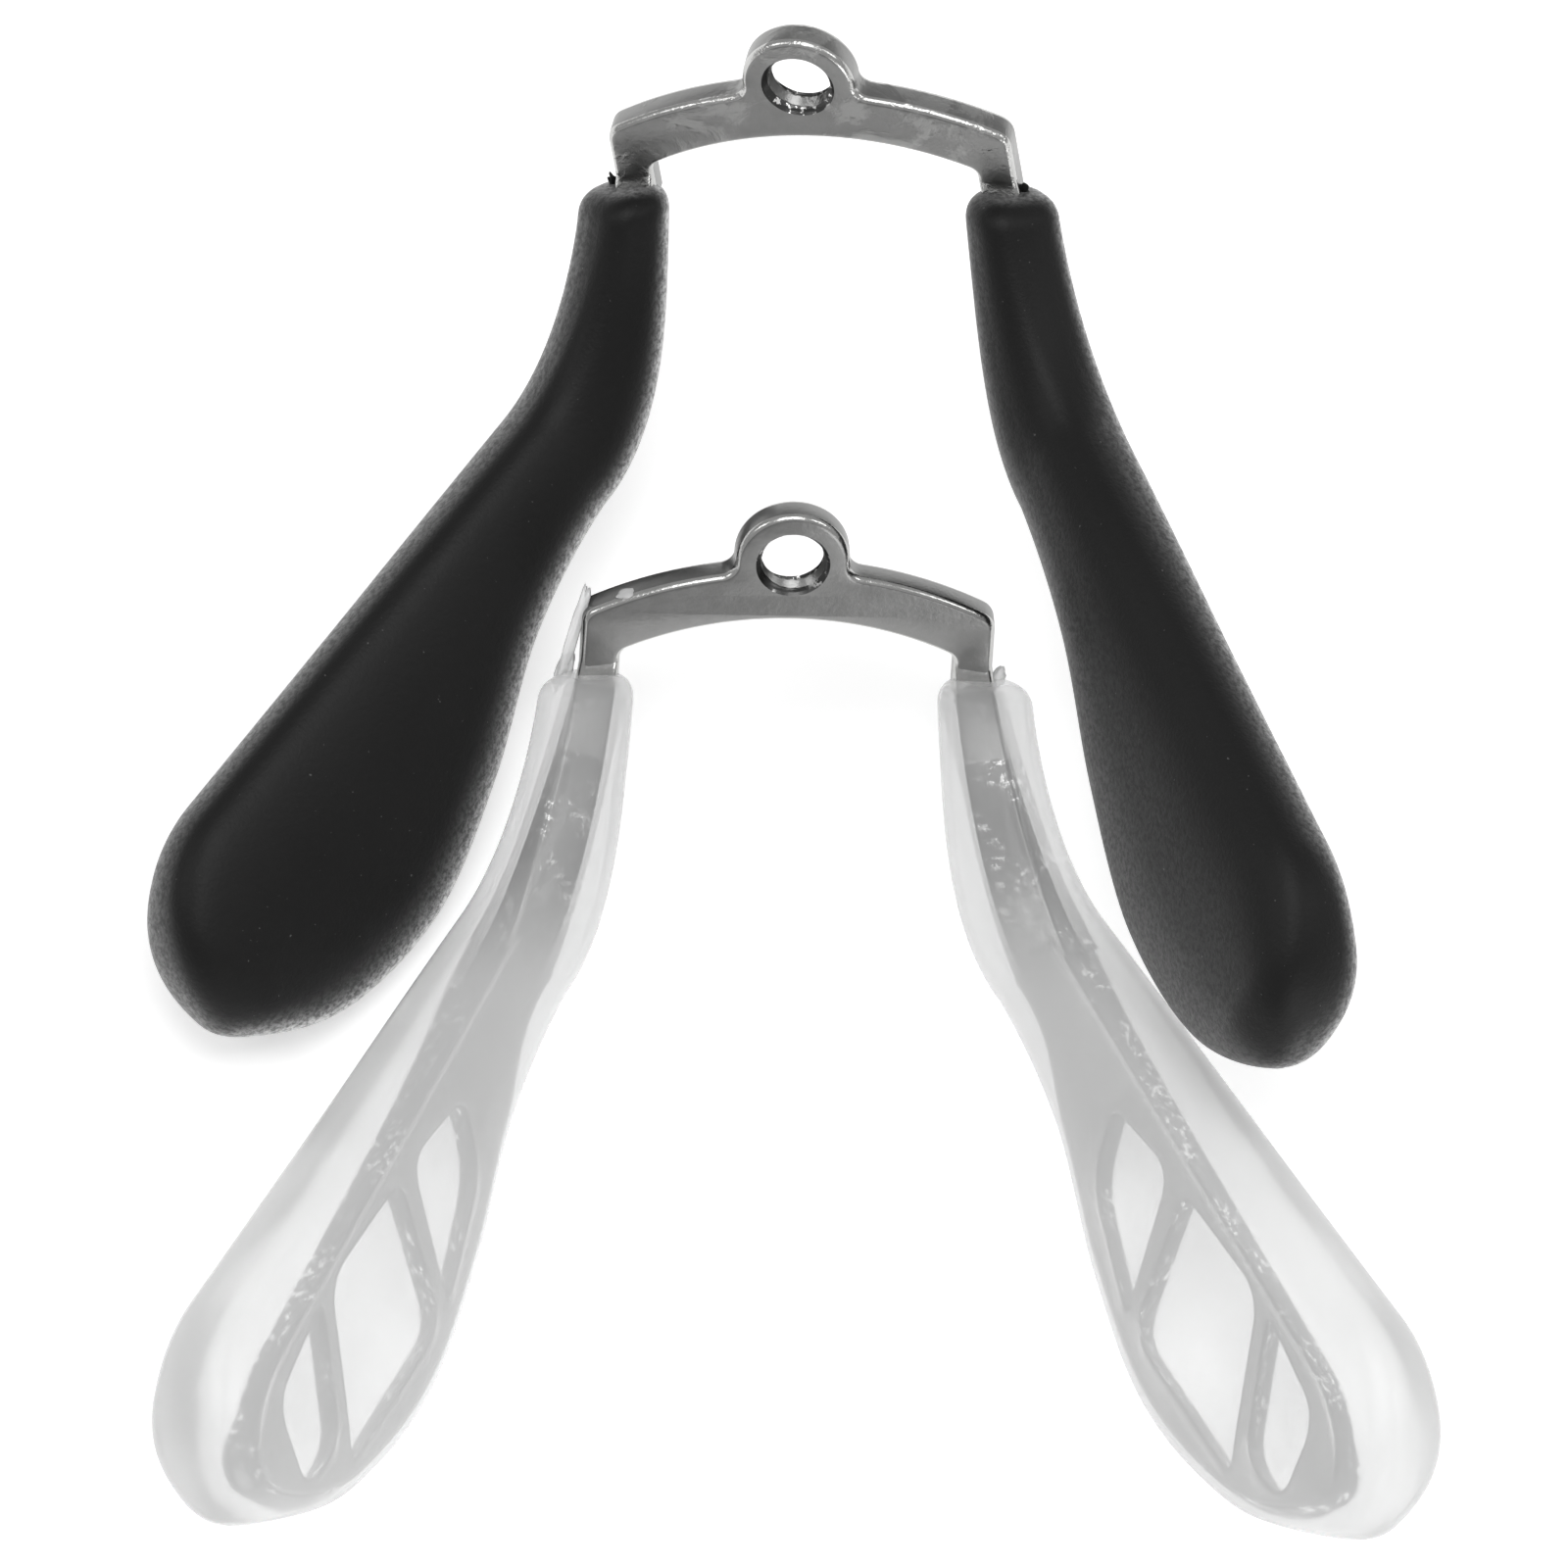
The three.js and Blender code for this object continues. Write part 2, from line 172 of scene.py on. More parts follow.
FORWARD = Vector((0, 0, 1))

# Table, which glows a little to give a white ground
TABLE_REACH = 1.0
TABLE_GAP = 0.02 * MM
TABLE_GLOW = 0.44

# Studio: where each softbox is, its width and height, and its watts
SKY_STRENGTH = 0.44
SOFTBOXES = {
    "overhead_softbox": ((0, 0.02, 0.3), (0.17, 0.17), 0.32),
    "left_softbox": ((-0.2, 0.02, 0.2), (0.06, 0.1), 0.07),
    "front_softbox": ((0.14, -0.26, 0.07), (0.12, 0.08), 0.12),
    "right_softbox": ((0.2, 0.02, 0.2), (0.06, 0.1), 0.07),
}

# Camera
CAMERA_ELEVATION = math.radians(69)
VIEW_WIDTH = 29.85 * MM
CAMERA_LENS = 400.0
SENSOR_WIDTH = 36.0
VIEW_CENTRE = Vector((-0.108, 0.653, 4.0)) * MM


# ---------------------------------------------------------------- small sums

def lerp(a, b, share):
    return a + (b - a) * share


def clamp(value, low=0.0, high=1.0):
    return max(low, min(high, value))


def smoothstep(value, low, high):
    share = clamp((value - low) / (high - low))
    return share * share * (3 - 2 * share)


def rounded_end(from_end, length):
    """Share of the full size left at a distance from an oval end."""
    reach = clamp(1 - from_end / length)
    return max(0.0, 1 - reach**END_SQUARENESS) ** (1 / END_SQUARENESS)


def bezier(points, share):
    """Point and direction on a cubic curve."""
    a, b, c, d = points
    rest = 1 - share
    place = a * rest**3 + b * (3 * rest * rest * share) + c * (3 * rest * share * share) + d * share**3
    heading = (b - a) * (rest * rest) + (c - b) * (2 * rest * share) + (d - c) * (share * share)
    return place, heading.normalized()


def section_axes(along, turn):
    """Axes of a section: along the piece, across it from outer to inner edge, and out of its face."""
    face = (FORWARD - along * along.dot(FORWARD)).normalized()
    inward = along.cross(face)
    across = inward * math.cos(turn) - face * math.sin(turn)
    return along, across, across.cross(along)


LEAF_AXES = section_axes(Vector((math.tan(LEAF_SPLAY), -1, math.tan(LEAF_RISE))).normalized(), LEAF_TURN)


def on_leaf(across, along):
    """A point of the leaf plane, in the unit's frame."""
    return LEAF_ORIGIN + LEAF_AXES[1] * across + LEAF_AXES[0] * along


def on_plate(x, y, z):
    """A point given in the tilted plate's own axes, in the unit's frame."""
    return Matrix.Rotation(PLATE_TILT, 3, "X") @ Vector((x, y, z))


def pad_width(along):
    """Width of the pad at a distance along the leaf plane, smooth through its evenly spaced widths."""
    place = clamp(along / PAD_WIDTH_STEP, 0, len(PAD_WIDTHS) - 1.001)
    i = int(place)
    share = place - i
    before, a = PAD_WIDTHS[max(i - 1, 0)], PAD_WIDTHS[i]
    b, after = PAD_WIDTHS[i + 1], PAD_WIDTHS[min(i + 2, len(PAD_WIDTHS) - 1)]
    slope_a, slope_b = (b - before) / 2, (after - a) / 2
    rest = 1 - share
    return (a * (1 + 2 * share) * rest * rest + slope_a * share * rest * rest
            + b * share * share * (3 - 2 * share) - slope_b * share * share * rest)


# ---------------------------------------------------------------- mesh tools

def new_object(name, data):
    thing = bpy.data.objects.new(name, data)
    bpy.context.scene.collection.objects.link(thing)
    return thing


def mesh_object(name, points, faces):
    mesh = bpy.data.meshes.new(name)
    mesh.from_pydata([tuple(p) for p in points], [], faces)
    return new_object(name, mesh)


def loft(name, rings):
    """A closed body from rings of points with the same count."""
    count = len(rings[0])
    points = [p for ring in rings for p in ring]
    faces = []
    for i in range(len(rings) - 1):
        for j in range(count):
            after = (j + 1) % count
            faces.append((i * count + j, (i + 1) * count + j, (i + 1) * count + after, i * count + after))
    for ring in (rings[0], rings[-1]):
        points.append(sum(ring, Vector()) / count)
    last = (len(rings) - 1) * count
    for j in range(count):
        after = (j + 1) % count
        faces.append((len(points) - 2, j, after))
        faces.append((len(points) - 1, last + after, last + j))
    return mesh_object(name, points, faces)


def slab(name, outline, holes, thickness, edge):
    """A flat piece about Z = 0 with rounded edges, from closed outlines of (x, y) points."""
    curve = bpy.data.curves.new(name, "CURVE")
    curve.dimensions = "2D"
    curve.fill_mode = "BOTH"
    curve.extrude = thickness / 2 - edge
    curve.bevel_depth = edge
    curve.bevel_resolution = 3
    curve.offset = -edge
    for loop in (outline, *holes):
        spline = curve.splines.new("POLY")
        spline.points.add(len(loop) - 1)
        for point, (x, y) in zip(spline.points, loop):
            point.co = (x, y, 0, 1)
        spline.use_cyclic_u = True
    drawn = new_object(name, curve)
    bpy.context.view_layer.update()
    mesh = bpy.data.meshes.new_from_object(drawn.evaluated_get(bpy.context.evaluated_depsgraph_get()))
    bpy.data.objects.remove(drawn)
    bpy.data.curves.remove(curve)
    made = bmesh.new()
    made.from_mesh(mesh)
    bmesh.ops.remove_doubles(made, verts=made.verts, dist=1e-4)
    bmesh.ops.recalc_face_normals(made, faces=made.faces)
    made.to_mesh(mesh)
    made.free()
    return new_object(name, mesh)


def apply_modifiers(thing):
    bpy.context.view_layer.update()
    graph = bpy.context.evaluated_depsgraph_get()
    mesh = bpy.data.meshes.new_from_object(thing.evaluated_get(graph))
    thing.modifiers.clear()
    thing.data = mesh


def combine(thing, tool, operation):
    """Joins or cuts thing with tool, and uses tool up."""
    cut = thing.modifiers.new(operation, "BOOLEAN")
    cut.operation = operation
    cut.solver = "EXACT"
    cut.object = tool
    apply_modifiers(thing)
    bpy.data.objects.remove(tool)


def lump(place, radii, turn, seed):
    """A small uneven blob of silicone in the plate's own axes."""
    unevenness = 0.45
    waviness = 1.7
    made = bmesh.new()
    bmesh.ops.create_icosphere(made, subdivisions=3, radius=1)
    spin = Matrix.Rotation(math.radians(turn), 3, "Z")
    for vert in made.verts:
        swell = 1 + unevenness * noise.noise(vert.co * waviness + Vector((seed, 0, 0)))
        vert.co = on_plate(*(Vector(place) + spin @ Vector(c * r * swell for c, r in zip(vert.co, radii))))
    mesh = bpy.data.meshes.new("lump")
    made.to_mesh(mesh)
    made.free()
    return mesh


def add_lumps(thing, lumps):
    """Flash left by the mould, joined to a pad."""
    made = bmesh.new()
    made.from_mesh(thing.data)
    for details in lumps:
        made.from_mesh(lump(*details))
    made.to_mesh(thing.data)
    made.free()
    shade(thing)


def mirror_copy(thing, name):
    mesh = thing.data.copy()
    mesh.transform(Matrix.Scale(-1, 4, Vector((1, 0, 0))))
    mesh.flip_normals()
    return new_object(name, mesh)


def shade(thing, sharp_degrees=None):
    for polygon in thing.data.polygons:
        polygon.use_smooth = True
    if sharp_degrees is not None:
        thing.data.set_sharp_from_angle(angle=math.radians(sharp_degrees))


# ---------------------------------------------------------------- bridge insert

def arc(centre, radius, start, end, steps):
    """Points on an arc from one angle to another."""
    return [(centre[0] + radius * math.cos(lerp(start, end, i / steps)),
             centre[1] + radius * math.sin(lerp(start, end, i / steps))) for i in range(steps + 1)]


def plate_outline():
    """Half of the outline is worked out from tangent circles, then mirrored."""
    eyelet_reach = EYELET_RADIUS + EYELET_FILLET
    arch_reach = ARCH_OUTER_RADIUS + EYELET_FILLET
    fillet_y = (arch_reach**2 - eyelet_reach**2 - ARCH_CENTRE_Y**2) / (-2 * ARCH_CENTRE_Y)
    fillet_x = math.sqrt(eyelet_reach**2 - fillet_y**2)
    corner_x = LEG_OUTER_X - OUTER_CORNER_RADIUS
    corner_y = ARCH_CENTRE_Y + math.sqrt((ARCH_OUTER_RADIUS - OUTER_CORNER_RADIUS) ** 2 - corner_x**2)
    inner_x = LEG_INNER_X - INNER_CORNER_RADIUS
    inner_y = ARCH_CENTRE_Y + math.sqrt((ARCH_INNER_RADIUS - INNER_CORNER_RADIUS) ** 2 - inner_x**2)
    corner_angle = math.atan2(corner_y - ARCH_CENTRE_Y, corner_x)
    fillet_angle = math.atan2(fillet_y - ARCH_CENTRE_Y, fillet_x)
    eyelet_angle = math.atan2(fillet_y, fillet_x)
    inner_angle = math.atan2(inner_y - ARCH_CENTRE_Y, inner_x)
    arch = (0, ARCH_CENTRE_Y)
    right = [
        *arc(arch, ARCH_INNER_RADIUS, math.pi / 2, inner_angle, 24)[1:],
        *arc((inner_x, inner_y), INNER_CORNER_RADIUS, inner_angle, 0, 8)[1:],
        (LEG_INNER_X, LEG_END_Y),
        (LEG_OUTER_X, LEG_END_Y),
        *arc((corner_x, corner_y), OUTER_CORNER_RADIUS, 0, corner_angle, 8),
        *arc(arch, ARCH_OUTER_RADIUS, corner_angle, fillet_angle, 16)[1:],
        *arc((fillet_x, fillet_y), EYELET_FILLET, fillet_angle - math.pi, eyelet_angle - math.pi, 8)[1:],
        *arc((0, 0), EYELET_RADIUS, eyelet_angle, math.pi / 2, 24)[1:-1],
    ]
    left = [(-x, y) for x, y in reversed(right)]
    return [(0, ARCH_CENTRE_Y + ARCH_INNER_RADIUS), *right, (0, EYELET_RADIUS), *left]


def thread_tap():
    """The tool that cuts the eyelet's screw thread, with a small countersink at each face."""
    rings = []
    half = PLATE_THICKNESS / 2
    overrun = 0.1
    steps = 60
    sides = 72
    for i in range(steps + 1):
        z = lerp(-half - overrun, half + overrun, i / steps)
        sink = abs(z) - half + COUNTERSINK
        ring = []
        for j in range(sides):
            angle = 2 * math.pi * j / sides
            turn = (z / THREAD_PITCH - angle / (2 * math.pi)) % 1
            radius = THREAD_CREST + THREAD_DEPTH * (1 - abs(2 * turn - 1))
            if sink >= 0:
                radius = max(radius, COUNTERSINK_RADIUS + sink)
            ring.append(Vector((radius * math.cos(angle), radius * math.sin(angle), z)))
        rings.append(ring)
    tap = loft("thread_tap", rings)
    tap.data.flip_normals()
    return tap


def plate():
    flat = slab("plate", plate_outline(), [], PLATE_THICKNESS, PLATE_EDGE)
    combine(flat, thread_tap(), "DIFFERENCE")
    lower = Matrix.Translation((0, 0, -PLATE_THICKNESS / 2))
    flat.data.transform(Matrix.Rotation(PLATE_TILT, 4, "X") @ lower)
    return flat


def stem():
    """From inside the leg, round the bend and into the leaf."""
    start = on_plate((LEG_INNER_X + LEG_OUTER_X) / 2, STEM_START_Y, -PLATE_THICKNESS / 2)
    end = on_leaf(STEM_MIDDLE, STEM_INTO_LEAF)
    path = (start, start + on_plate(0, -1, 0) * STEM_PULLS[0], end - LEAF_AXES[0] * STEM_PULLS[1], end)
    rings = []
    for i in range(STEM_STEPS + 1):
        share = i / STEM_STEPS
        ease = smoothstep(share, 0, 1)
        place, heading = bezier(path, share)
        _, across, face = section_axes(heading, LEAF_TURN * ease)
        x = lerp(*STEM_WIDTHS, ease) / 2 - STEM_EDGE
        y = lerp(*STEM_THICKNESSES, ease) / 2 - STEM_EDGE
        corners = ((x, y), (-x, y), (-x, -y), (x, -y))
        ring = []
        for quarter, corner in enumerate(corners):
            start_angle = quarter * math.pi / 2
            for u, v in arc(corner, STEM_EDGE, start_angle, start_angle + math.pi / 2, STEM_CORNER_STEPS):
                ring.append(place + across * u + face * v)
        rings.append(ring)
    return loft("stem", rings)


def leaf_edges(along):
    """Outer and inner edge of the leaf: the outer one is straight, the inner one follows the pad."""
    outer = lerp(*LEAF_OUTER_MARGINS, along / LEAF_LENGTH)
    following = smoothstep(along, 0, LEAF_SPREAD)
    inner = lerp(STEM_MIDDLE + STEM_WIDTHS[1] / 2, pad_width(along) - LEAF_INNER_MARGIN, following)
    end = rounded_end(LEAF_LENGTH - along, LEAF_TIP_LENGTH)
    middle = lerp(outer, inner, 0.5 + (LEAF_TIP_BIAS - 0.5) * (1 - end))
    half = (inner - outer) / 2 * end
    return middle - half, middle + half


def rounded_window(corners):
    """Closed outline through corners with each corner rounded, the blunt ones more."""
    points = [Vector(c) for c in corners]
    outline = []
    for i, corner in enumerate(points):
        before, after = points[i - 1], points[(i + 1) % len(points)]
        reach = WINDOW_ROUNDING * math.sin((before - corner).angle(after - corner) / 2)
        enter = corner + (before - corner).normalized() * reach
        leave = corner + (after - corner).normalized() * reach
        for k in range(WINDOW_CORNER_STEPS + 1):
            share = k / WINDOW_CORNER_STEPS
            rest = 1 - share
            outline.append(tuple(enter * rest * rest + corner * (2 * rest * share) + leave * share * share))
    return outline


def stations_along(length, tip, even, closing):
    """Distances along a piece, evenly spaced and then closing up towards its rounded end."""
    straight = [(length - tip) * i / even for i in range(even)]
    return straight + [length - tip + tip * math.sin(math.pi / 2 * i / closing) for i in range(closing)]


def leaf():
    stations = stations_along(LEAF_LENGTH, LEAF_TIP_LENGTH, *LEAF_STEPS)
    outer = [(leaf_edges(s)[0], s) for s in stations]
    inner = [(leaf_edges(s)[1], s) for s in reversed(stations)]
    tip = (leaf_edges(LEAF_LENGTH)[0], LEAF_LENGTH)
    windows = [rounded_window(corners) for corners in WINDOWS]
    flat = slab("leaf", [*outer, tip, *inner], windows, LEAF_THICKNESS, LEAF_EDGE)
    along, across, face = LEAF_AXES
    basis = Matrix((across, along, face)).transposed().to_4x4()
    flat.data.transform(Matrix.Translation(LEAF_ORIGIN) @ basis)
    return flat


def edge_marks(polygon, level):
    """Plate face marks: rounded edges smoother with a painted highlight, the hole's rims painted dark as
    shade.
    """
    place = level @ polygon.center
    squareness = abs((level @ polygon.normal).z)
    from_face = min(abs(place.z), abs(place.z + PLATE_THICKNESS))
    if from_face >= PLATE_EDGE * 1.05 or not EDGE_SQUARENESS[0] < squareness < EDGE_SQUARENESS[1]:
        return 0.0, 0.0
    # Rounded faces on the hole's rim get painted shade, the other rounded edges a painted highlight
    on_rim = math.hypot(place.x, place.y) - HOLE_RADIUS <= HOLE_RIM
    return float(not on_rim), float(on_rim)


def leaf_marks(polygon):
    """Inside the silicone: broad faces get a painted highlight, sides painted shade, and stems are darker.
    """
    side = math.copysign(1, polygon.center.x)
    normal = Vector((polygon.normal.x * side, polygon.normal.y, polygon.normal.z))
    broad = smoothstep(abs(normal.dot(LEAF_AXES[2])), *LEAF_SQUARENESS)
    beyond_stem = smoothstep(-polygon.center.y, -STEM_FADE_Y[0], -STEM_FADE_Y[1])
    # Sides get painted shade; stems are darker than the rest of the leaf
    darkening = max(SIDE_SHADE * (1 - broad), lerp(STEM_DARKENING, LEAF_DARKENING, beyond_stem))
    # Broad faces beyond the stems get a painted highlight
    return LEAF_HIGHLIGHT * broad * beyond_stem, darkening


def mark_finish(thing):
    # The first mark is smoothness with a painted highlight, the second painted shade and darker stems
    polish_and_highlight = thing.data.attributes.new("polish_and_highlight", "FLOAT", "FACE")
    darkening = thing.data.attributes.new("darkening", "FLOAT", "FACE")
    level = Matrix.Rotation(-PLATE_TILT, 3, "X")
    for i, polygon in enumerate(thing.data.polygons):
        inside = polygon.center.y < SILICONE_START_Y
        marks = leaf_marks(polygon) if inside else edge_marks(polygon, level)
        polish_and_highlight.data[i].value, darkening.data[i].value = marks


def bridge_insert(name):
    """One casting: plate, two stems and two leaves."""
    half = stem()
    combine(half, leaf(), "UNION")
    other = mirror_copy(half, "left_half")
    insert = plate()
    combine(insert, half, "UNION")
    combine(insert, other, "UNION")
    insert.name = name
    insert.data.name = name
    shade(insert, CREASE)
    mark_finish(insert)
    return insert


# ---------------------------------------------------------------- silicone pads

def pad_ring(place, across, face, width, thickness):
    """Rounded rectangle, squarer on its outer half than on its inner half."""
    ring = []
    for j in range(PAD_SIDES):
        angle = 2 * math.pi * j / PAD_SIDES
        c, s = math.cos(angle), math.sin(angle)
        power = 2 / (PAD_OUTER_SQUARENESS if c < 0 else PAD_INNER_SQUARENESS)
        x = math.copysign(abs(c) ** power, c) * width / 2
        if j % (PAD_SIDES // 2) == 0:
            x += math.copysign(PARTING_RIDGE * min(1, thickness), c)
        y = math.copysign(abs(s) ** power, s) * thickness / 2
        ring.append(place + across * x + face * y)
    return ring


def neck_rings(top_width):
    """Sections from the pad's rounded top to the leaf plane."""
    end = on_leaf(PAD_WIDTHS[0] / 2, 0)
    leaving = NECK_TOP + NECK_TOP_DIRECTION * NECK_PULLS[0]
    arriving = end - LEAF_AXES[0] * NECK_PULLS[1]
    path = (NECK_TOP, leaving, arriving, end)
    length = (end - NECK_TOP).length
    rounded = NECK_TOP_ROUNDING / length
    shares = [rounded * (1 - math.cos(math.pi / 2 * i / NECK_TOP_STEPS)) for i in range(NECK_TOP_STEPS)]
    shares += [lerp(rounded, 1, i / NECK_STEPS) for i in range(NECK_STEPS)]
    rings = []
    for share in shares:
        ease = smoothstep(share, 0, 1)
        lip = lerp(NECK_TOP_SHARE, 1, rounded_end(share * length, NECK_TOP_ROUNDING))
        place, heading = bezier(path, share)
        _, across, face = section_axes(heading, lerp(NECK_TOP_TURN, LEAF_TURN, ease))
        width = lerp(top_width, PAD_WIDTHS[0], ease) * lip
        thickness = lerp(NECK_TOP_THICKNESS, PAD_THICKNESS_NECK, ease) * lip
        fade = 1 - smoothstep(share * length, 0, NECK_SLANT_REACH)
        slant = heading * (NECK_TOP_SLANT * fade / top_width)
        rings.append(pad_ring(place, across - slant, face, width, thickness))
    return rings


def blade_rings(length):
    """Sections along the leaf plane to the pad's tip."""
    rings = []
    for along in stations_along(length, PAD_TIP_LENGTH, *BLADE_STEPS):
        end = rounded_end(length - along, PAD_TIP_LENGTH)
        width = pad_width(along)
        middle = width * (0.5 + (PAD_TIP_BIAS - 0.5) * (1 - end))
        full = lerp(PAD_THICKNESS_NECK, PAD_THICKNESS_END, clamp(along / PAD_THICKENING))
        thickness = full * rounded_end(length - along, PAD_END_ROUNDING)
        rings.append(pad_ring(on_leaf(middle, along), LEAF_AXES[1], LEAF_AXES[2], width * end, thickness))
    return rings


def right_pad(name, length, top_width):
    thing = loft(name, [*neck_rings(top_width), *blade_rings(length)])
    shade(thing)
    neck = thing.data.attributes.new("neck", "FLOAT", "POINT")
    for i, vertex in enumerate(thing.data.vertices):
        neck.data[i].value = 1 - smoothstep(-vertex.co.y, -NECK_END_Y, -NECK_FADE_Y)
    return thing


# ---------------------------------------------------------------- finishes

def grey(value):
    return (value, value, value)


class Wire:
    """A socket of a finish's node tree. Arithmetic on it adds Math nodes."""

    def __init__(self, finish, socket):
        self.finish = finish
        self.socket = socket

    def sum(self, operation, *values):
        return self.finish.node("ShaderNodeMath", {"operation": operation}, dict(enumerate(values)))

    def __add__(self, other):
        return self.sum("ADD", self, other)

    def __radd__(self, other):
        return self.sum("ADD", other, self)

    def __sub__(self, other):
        return self.sum("SUBTRACT", self, other)

    def __rsub__(self, other):
        return self.sum("SUBTRACT", other, self)

    def __mul__(self, other):
        return self.sum("MULTIPLY", self, other)

    def __rmul__(self, other):
        return self.sum("MULTIPLY", other, self)


class Finish:
    """A material with one Principled shader."""

    def __init__(self, name, constants):
        self.material = bpy.data.materials.new(name)
        self.material.use_nodes = True
        self.tree = self.material.node_tree
        self.tree.nodes.clear()
        self.shader = self.tree.nodes.new("ShaderNodeBsdfPrincipled")
        self.output = self.tree.nodes.new("ShaderNodeOutputMaterial")
        self.tree.links.new(self.shader.outputs[0], self.output.inputs["Surface"])
        for socket, value in constants.items():
            self.set(socket, value)

    def put(self, target, value):
        if isinstance(value, Wire):
            self.tree.links.new(value.socket, target)
        else:
            target.default_value = value

    def set(self, socket, value):
        self.put(self.shader.inputs[socket], value)

    def node(self, kind, settings=None, inputs=None, output=0):
        """Adds a node: its settings first, then the values or links of its sockets. Gives one output."""
        made = self.tree.nodes.new(kind)
        for key, value in (settings or {}).items():
            setattr(made, key, value)
        for key, value in (inputs or {}).items():
            self.put(made.inputs[key], value)
        return Wire(self, made.outputs[output])

    def mark(self, name):
        return self.node("ShaderNodeAttribute", {"attribute_name": name}, output="Fac")

    def place(self):
        return self.node("ShaderNodeTexCoord", output="Object")

    def noise(self, size_mm, detail=3.0, roughness=0.5, distortion=0.0):
        """Noise from 0 to 1 with features of about a size."""
        inputs = {
            "Vector": self.place(), "Scale": 1 / (size_mm * MM), "Detail": detail,
            "Roughness": roughness, "Distortion": distortion,
        }
        return self.node("ShaderNodeTexNoise", {"noise_dimensions": "4D"}, inputs, "Fac")

    def step(self, value, low, high, out_low=0.0, out_high=1.0):
        """Goes smoothly from one value to another as its input passes from low to high."""
        inputs = {"Value": value, "From Min": low, "From Max": high, "To Min": out_low, "To Max": out_high}
        return self.node("ShaderNodeMapRange", {"interpolation_type": "SMOOTHSTEP"}, inputs)

    def blend(self, share, first, second):
        colours = [(*c, 1) if isinstance(c, tuple) else c for c in (first, second)]
        return self.node("ShaderNodeMix", {"data_type": "RGBA"}, {0: share, 6: colours[0], 7: colours[1]}, 2)

    def bump(self, height, strength, distance_mm):
        inputs = {"Height": height, "Strength": strength, "Distance": distance_mm * MM}
        self.set("Normal", self.node("ShaderNodeBump", {}, inputs))


def nickel_finish(name, residue):
    """Cast nickel, satin, with grey casting residue left in patches: residue is 0 for little and 1 for much.
    """
    finish = Finish(name, {"Metallic": 1.0})
    patches = finish.step(finish.noise(1.2, 5, 0.6, 0.6), 0.72 - 0.22 * residue, 0.8 - 0.2 * residue)
    mottle = finish.noise(0.35, 4, 0.6)
    tone = finish.blend(mottle, (0.22, 0.22, 0.217), (0.30, 0.30, 0.297))
    tone = finish.blend(patches * (0.25 + 0.35 * residue), tone, (0.42, 0.42, 0.415))
    polish_and_highlight, darkening = finish.mark("polish_and_highlight"), finish.mark("darkening")
    # Painted highlight: lighter colour on the plate's rounded edges and the leaf's broad faces
    tone = finish.blend(polish_and_highlight * (0.45 + 0.55 * mottle), tone, (0.62, 0.62, 0.61))
    # Painted shade on the hole's rims and the leaf's sides, and darker stems and leaf
    tone = finish.blend(darkening * 0.8, tone, grey(0.03))
    # Painted glints: bright specks in patches on the darkened metal, standing in for sparkle
    painted_glints = finish.step(finish.noise(0.16, 3, 0.65), 0.54, 0.6)
    glint_patches = finish.step(finish.noise(0.9, 2), 0.45, 0.6)
    finish.set("Base Color", finish.blend(painted_glints * glint_patches * darkening * 1.6, tone, (0.95, 0.95, 0.94)))
    finish.set("Roughness", 0.26 + 0.1 * mottle + 0.06 * patches - 0.12 * polish_and_highlight)
    height = finish.noise(0.1, 4, 0.65) * 0.6 + mottle * 0.4 + patches * (0.9 * residue)
    finish.bump(height, 0.35 + 0.2 * residue, 0.025)
    return finish.material


def black_silicone_finish():
    """Satin black silicone with a fine moulded grain, a few dusty specks, and a painted sheen towards its
    edges.
    """
    constants = {"Metallic": 0.0, "Specular IOR Level": 0.22, "Sheen Weight": 0.1, "Sheen Roughness": 0.45}
    finish = Finish("black_silicone", constants)
    cloud = finish.noise(2.2, 3)
    grain = finish.noise(0.07, 2, 0.6)
    glancing = finish.node("ShaderNodeLayerWeight", {}, {"Blend": 0.35}, "Facing")
    speckle = finish.step(finish.noise(0.11, 4, 0.7), 0.36, 0.66)
    specks = finish.step(finish.noise(0.09, 1), 0.74, 0.8)
    normal = finish.node("ShaderNodeTexCoord", output="Normal")
    towards_right = finish.node("ShaderNodeSeparateXYZ", {}, {0: normal}, "X")
    # Painted sheen: more on faces turned to +X, and more on the left pad than the right
    sheen_side = finish.step(towards_right, -0.3, 0.6, 0.3, 1.0)
    from_middle = finish.node("ShaderNodeSeparateXYZ", {}, {0: finish.place()}, "X")
    sheen_pad = finish.step(from_middle, -3 * MM, 3 * MM, 1.6, 0.85)
    # Painted sheen towards glancing edges, with dusty specks on top
    painted_sheen = finish.step(glancing, 0.18, 0.9) * sheen_side * sheen_pad
    dust_and_sheen = painted_sheen * (0.25 + 1.1 * speckle) + 0.12 * specks
    silicone = finish.blend(cloud, grey(0.004), grey(0.008))
    # Light grey for the dusty specks and the painted sheen
    finish.set("Base Color", finish.blend(dust_and_sheen, silicone, grey(0.62)))
    finish.set("Roughness", 0.36 + 0.12 * cloud + 0.06 * grain)
    finish.bump(grain + cloud * 0.3 + speckle * 0.5, 0.3, 0.02)
    return finish.material


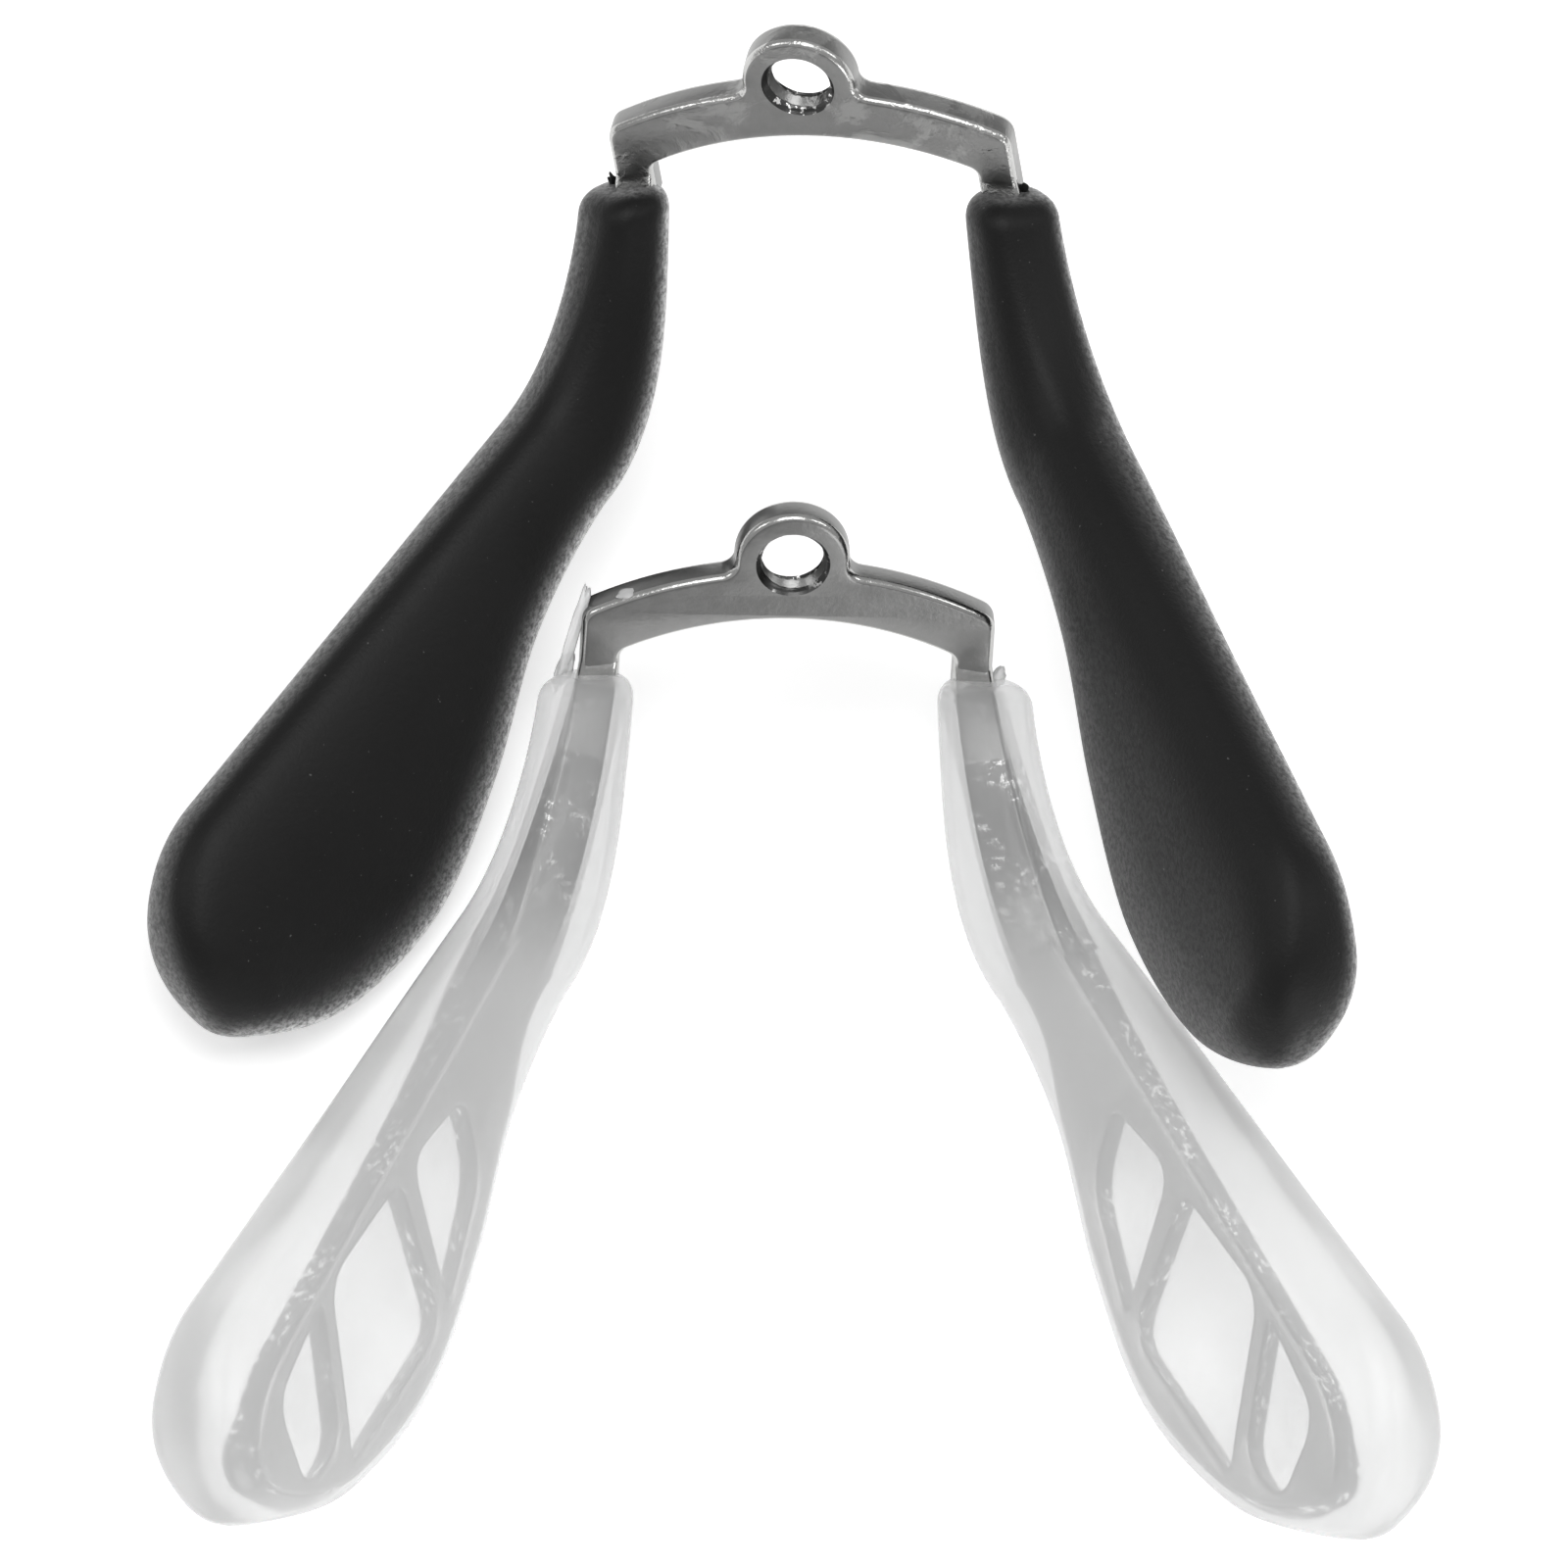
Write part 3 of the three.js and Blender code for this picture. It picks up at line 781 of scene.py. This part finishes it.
def clear_silicone_finish():
    """Frosted silicone: some light scatters in it and some goes through, bent. The neck is clearer."""
    finish = Finish("clear_silicone", {"Metallic": 0.0, "IOR": 1.28, "Transmission Weight": 0.47})
    cloud = finish.noise(1.6, 3)
    grain = finish.noise(0.06, 2)
    finish.set("Base Color", finish.blend(cloud, (0.955, 0.96, 0.96), grey(0.975)))
    neck = finish.mark("neck")
    finish.set("Roughness", 0.16 + 0.06 * cloud - 0.11 * neck)
    finish.bump(grain + cloud * 0.4, 0.1, 0.01)
    shadow = finish.node("ShaderNodeLightPath", output="Is Shadow Ray")
    through = finish.node("ShaderNodeBsdfTransparent", {}, {"Color": (0.92, 0.92, 0.92, 1)})
    body = Wire(finish, finish.shader.outputs[0])
    thinness = 0.45 * neck
    share = thinness + shadow * (0.8 - thinness)
    lit = finish.node("ShaderNodeMixShader", {}, {0: share, 1: body, 2: through})
    finish.tree.links.new(lit.socket, finish.output.inputs["Surface"])
    return finish.material


# ---------------------------------------------------------------- units

def unit_matrix(colour, pads):
    """Carries the unit from its own frame, in millimetres, to where its CAD pads lie."""
    turns = [Matrix.Rotation(math.radians(a), 4, axis) for a, axis in zip(TURNS[colour], "XYZ")]
    turn = Matrix.Scale(MM, 4) @ turns[0] @ turns[1] @ turns[2]
    placed = [turn @ v.co for pad in pads for v in pad.data.vertices]
    boxes = [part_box(f"{colour}_{side}_pad") for side in ("left", "right")]
    shift = Vector()
    for k in range(3):
        low = min(box[0][k] for box in boxes)
        high = max(box[1][k] for box in boxes)
        shift[k] = (low + high) / 2 - (min(p[k] for p in placed) + max(p[k] for p in placed)) / 2
    return Matrix.Translation(shift) @ turn


def finish_piece(piece, matrix, material, body, node):
    """Puts a piece in its place and says which body carries it and which CAD node it replaces."""
    piece.data.transform(matrix)
    piece.data.materials.clear()
    piece.data.materials.append(material)
    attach(piece, body)
    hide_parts(node)


def build_unit(colour, metal, silicone):
    body = f"{colour}_unit"
    right = right_pad(f"{colour}_pad_right", **PAD_SIZES[colour])
    left = mirror_copy(right, f"{colour}_pad_left")
    matrix = unit_matrix(colour, (left, right))
    for pad, side in ((left, "left"), (right, "right")):
        add_lumps(pad, FLASH[f"{colour}_{side}"])
        finish_piece(pad, matrix, silicone, body, f"{colour}_{side}_pad")
    insert = bridge_insert(f"{colour}_insert")
    finish_piece(insert, matrix, metal, body, f"{colour}_bridge_insert")


# ---------------------------------------------------------------- studio

def softbox(name, place, size, power):
    lamp = bpy.data.lights.new(name, "AREA")
    lamp.shape = "RECTANGLE"
    lamp.size, lamp.size_y = size
    lamp.energy = power
    thing = new_object(name, lamp)
    thing.location = place
    thing.rotation_euler = (-Vector(place)).to_track_quat("-Z", "Y").to_euler()


def studio():
    scene = bpy.context.scene
    scene.view_settings.view_transform = "Standard"
    world = bpy.data.worlds.new("studio")
    world.use_nodes = True
    sky = world.node_tree.nodes["Background"]
    sky.inputs["Color"].default_value = (1, 1, 1, 1)
    sky.inputs["Strength"].default_value = SKY_STRENGTH
    scene.world = world
    for name, details in SOFTBOXES.items():
        softbox(name, *details)


def table():
    signs = ((-1, -1), (1, -1), (1, 1), (-1, 1))
    corners = [(x * TABLE_REACH, y * TABLE_REACH, -TABLE_GAP) for x, y in signs]
    floor = mesh_object("table", corners, [(0, 1, 2, 3)])
    glow = {"Emission Color": (1, 1, 1, 1), "Emission Strength": TABLE_GLOW}
    finish = Finish("table_white", {"Roughness": 0.6, "Metallic": 0.0, **glow})
    finish.set("Base Color", finish.blend(finish.noise(4, 2), grey(0.93), grey(0.95)))
    floor.data.materials.append(finish.material)


def camera():
    lens = bpy.data.cameras.new("camera")
    lens.lens = CAMERA_LENS
    lens.sensor_width = SENSOR_WIDTH
    lens.clip_start = 0.01
    thing = new_object("camera", lens)
    away = Vector((0, -math.cos(CAMERA_ELEVATION), math.sin(CAMERA_ELEVATION)))
    thing.location = VIEW_CENTRE + away * (VIEW_WIDTH * CAMERA_LENS / SENSOR_WIDTH)
    thing.rotation_euler = away.to_track_quat("Z", "Y").to_euler()
    bpy.context.scene.camera = thing


camera()
studio()
table()
build_unit("clear", nickel_finish("nickel_bright", 0.25), clear_silicone_finish())
build_unit("black", nickel_finish("nickel_filmed", 1.0), black_silicone_finish())
